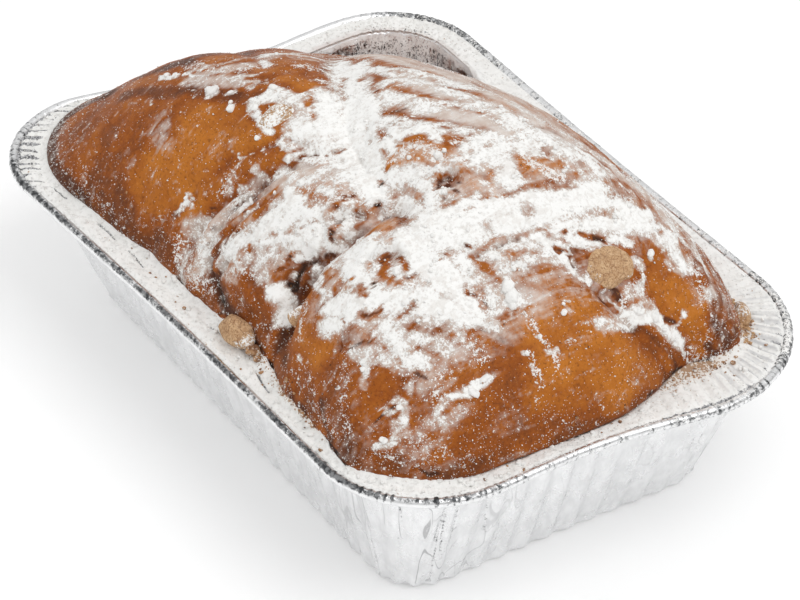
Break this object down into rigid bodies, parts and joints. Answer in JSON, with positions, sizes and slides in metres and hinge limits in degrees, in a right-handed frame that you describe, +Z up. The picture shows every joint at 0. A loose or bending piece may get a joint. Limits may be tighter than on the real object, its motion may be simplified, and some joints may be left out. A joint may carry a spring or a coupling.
{
  "type": "sugar bread in a foil tin",
  "caption": "Folded sweet loaf risen above its fluted foil tin, dusted with powdered sugar, with pieces of nut showing in the crust.",
  "frame": {"origin": "bottom centre of the tin's bounding box, on the flat foot", "axes": "+X along the loaf, +Z up out of the tin"},
  "size_m": [0.2177, 0.1493, 0.0987],
  "materials": {
    "foil": "satin",
    "crust": "satin",
    "nut": "matte",
    "sugar": "matte"
  },
  "bodies": {
    "root": {"foil_tin": "foil", "loaf": "crust", "nut_front_side": "nut", "nut_crevice": "nut", "nut_right_top": "nut", "nut_left_top": "nut", "nut_right_end": "nut"}
  },
  "joints": []
}
